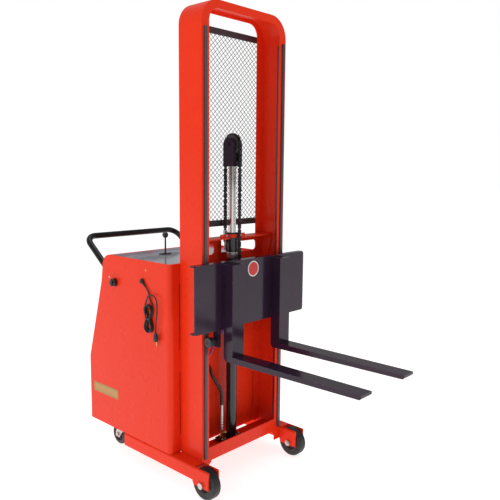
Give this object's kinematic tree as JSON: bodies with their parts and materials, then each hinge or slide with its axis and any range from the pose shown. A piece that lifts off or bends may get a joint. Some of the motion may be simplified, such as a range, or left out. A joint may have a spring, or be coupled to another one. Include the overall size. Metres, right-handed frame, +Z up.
{
  "type": "walkie stacker",
  "caption": "Counterbalanced walkie stacker: a tall channel mast with a chain-lifted fork carriage, a boxed power body, a tubular push handle and rear swivel casters.",
  "frame": {"origin": "on the floor, under the centre of the bounding box without the charger lead", "axes": "+Z up, forks point along -Y, the push handle is at +Y, and +X is on the left of an operator who stands at the handle and looks at the mast"},
  "size_m": [0.656, 1.479, 1.94],
  "materials": {
    "red_paint": "gloss powder coat",
    "black_paint": "gloss",
    "handle_black": "satin powder coat",
    "dark_steel": "rolled, lightly oiled",
    "screen_steel": "satin black expanded metal",
    "chrome_rod": "hard chrome",
    "barrel_black": "gloss",
    "chain_steel": "oiled",
    "sheave_iron": "machined and oiled",
    "zinc": "zinc plated",
    "brass_fitting": "turned",
    "tyre_rubber": "worn",
    "hub_black": "satin",
    "caster_tread": "moulded",
    "hose_rubber": "ribbed",
    "return_blue": "clear blue",
    "knob_black": "polished",
    "panel_grey": "gloss",
    "label_yellow": "film",
    "disc_red": "film with a pale rim",
    "weight_iron": "rough",
    "battery_case": "moulded",
    "pump_alloy": "cast",
    "charger_case": "painted",
    "cord_rubber": "matt",
    "plug_plastic": "moulded"
  },
  "bodies": {
    "chassis": {"base_rail_right": "red_paint", "base_rail_left": "red_paint", "front_cross_member": "red_paint", "floor_pan": "red_paint", "front_axles": "zinc", "caster_plates": "zinc", "mast_frame": "red_paint", "roller_steels": "dark_steel", "mast_screen": "screen_steel", "cylinder_support": "red_paint", "cylinder_clamp": "red_paint", "cylinder_barrel": "barrel_black", "gland_cap": "barrel_black", "port_block": "brass_fitting", "chain_rear": "chain_steel", "chain_stud": "zinc", "body_shell": "red_paint", "rear_cover": "red_paint", "top_panel": "panel_grey", "lever_plate": "knob_black", "label_plate": "label_yellow", "cover_screws": "brass_fitting", "counterweight": "weight_iron", "battery": "battery_case", "power_unit": "pump_alloy", "charger": "charger_case", "lift_hose": "hose_rubber", "return_tube": "return_blue", "push_handle": "handle_black", "handle_sockets": "dark_steel", "cord_gland": "cord_rubber", "cord_lead": "cord_rubber", "cord_hank": "cord_rubber", "cord_tail": "cord_rubber", "mains_plug": "plug_plastic"},
    "front_wheel_right": {"front_tyre_right": "tyre_rubber", "front_hub_right": "hub_black"},
    "front_wheel_left": {"front_tyre_left": "tyre_rubber", "front_hub_left": "hub_black"},
    "caster_swivel_right": {"caster_fork_right": "zinc"},
    "caster_swivel_left": {"caster_fork_left": "zinc"},
    "caster_roller_right": {"caster_wheel_right": "caster_tread"},
    "caster_roller_left": {"caster_wheel_left": "caster_tread"},
    "rod": {"piston_rod": "chrome_rod", "rod_yoke": "dark_steel", "chain_wrap": "chain_steel", "chain_front": "chain_steel"},
    "sheave": {"chain_sheave": "sheave_iron"},
    "carriage": {"carriage_plate": "black_paint", "fork_right": "black_paint", "fork_left": "black_paint", "roller_bracket_right": "black_paint", "roller_bracket_left": "black_paint", "carriage_disc": "disc_red"},
    "mast_roller_upper_right": {"upper_roller_right": "dark_steel"},
    "mast_roller_upper_left": {"upper_roller_left": "dark_steel"},
    "mast_roller_lower_right": {"lower_roller_right": "dark_steel"},
    "mast_roller_lower_left": {"lower_roller_left": "dark_steel"},
    "lever": {"lift_lever": "knob_black"},
    "switch": {"key_switch": "knob_black"}
  },
  "joints": [
    {"name": "front_wheel_right_spin", "type": "hinge", "parent": "chassis", "child": "front_wheel_right", "pos_m": [-0.27, -0.0995, 0.0635], "axis": [1, 0, 0], "continuous": true},
    {"name": "caster_right_swivel", "type": "hinge", "parent": "chassis", "child": "caster_swivel_right", "pos_m": [-0.205, 0.5275, 0.115], "axis": [0, 0, 1], "continuous": true},
    {"name": "caster_right_spin", "type": "hinge", "parent": "caster_swivel_right", "child": "caster_roller_right", "pos_m": [-0.205, 0.5635, 0.05], "axis": [1, 0, 0], "continuous": true},
    {"name": "front_wheel_left_spin", "type": "hinge", "parent": "chassis", "child": "front_wheel_left", "pos_m": [0.27, -0.0995, 0.0635], "axis": [1, 0, 0], "continuous": true},
    {"name": "caster_left_swivel", "type": "hinge", "parent": "chassis", "child": "caster_swivel_left", "pos_m": [0.205, 0.5275, 0.115], "axis": [0, 0, 1], "continuous": true},
    {"name": "caster_left_spin", "type": "hinge", "parent": "caster_swivel_left", "child": "caster_roller_left", "pos_m": [0.205, 0.5635, 0.05], "axis": [1, 0, 0], "continuous": true},
    {"name": "rod_lift", "type": "slide", "parent": "chassis", "child": "rod", "axis": [0, 0, 1], "range_m": [-0.245, 0.47], "deforming": ["chain_rear"]},
    {"name": "carriage_lift", "type": "slide", "parent": "rod", "child": "carriage", "axis": [0, 0, 1], "range_m": [-0.245, 0.47], "deforming": ["chain_front"]},
    {"name": "sheave_spin", "type": "hinge", "parent": "rod", "child": "sheave", "pos_m": [0, 0.0305, 1.405], "axis": [1, 0, 0], "continuous": true},
    {"name": "mast_roller_upper_right_spin", "type": "hinge", "parent": "carriage", "child": "mast_roller_upper_right", "pos_m": [-0.2235, -0.0212, 0.895], "axis": [1, 0, 0], "continuous": true},
    {"name": "mast_roller_upper_left_spin", "type": "hinge", "parent": "carriage", "child": "mast_roller_upper_left", "pos_m": [0.2235, -0.0212, 0.895], "axis": [1, 0, 0], "continuous": true},
    {"name": "mast_roller_lower_right_spin", "type": "hinge", "parent": "carriage", "child": "mast_roller_lower_right", "pos_m": [-0.226, -0.0708, 0.625], "axis": [1, 0, 0], "continuous": true},
    {"name": "mast_roller_lower_left_spin", "type": "hinge", "parent": "carriage", "child": "mast_roller_lower_left", "pos_m": [0.226, -0.0708, 0.625], "axis": [1, 0, 0], "continuous": true},
    {"name": "lift_lever_tilt", "type": "hinge", "parent": "chassis", "child": "lever", "pos_m": [-0.062, 0.3985, 0.898], "axis": [1, 0, 0], "range_deg": [-12, 12], "stiffness_Nm_per_rad": 2},
    {"name": "key_switch_turn", "type": "hinge", "parent": "chassis", "child": "switch", "pos_m": [-0.3, 0.4545, 0.807], "axis": [1, 0, 0], "range_deg": [0, 90]}
  ],
  "couplings": [
    {"joint": "carriage_lift", "follows": "rod_lift", "ratio": 1},
    {"joint": "sheave_spin", "follows": "rod_lift", "rad_per_m": -23.809},
    {"joint": "mast_roller_upper_right_spin", "follows": "rod_lift", "rad_per_m": 105.26},
    {"joint": "mast_roller_upper_left_spin", "follows": "rod_lift", "rad_per_m": 105.26},
    {"joint": "mast_roller_lower_right_spin", "follows": "rod_lift", "rad_per_m": -105.26},
    {"joint": "mast_roller_lower_left_spin", "follows": "rod_lift", "rad_per_m": -105.26}
  ]
}
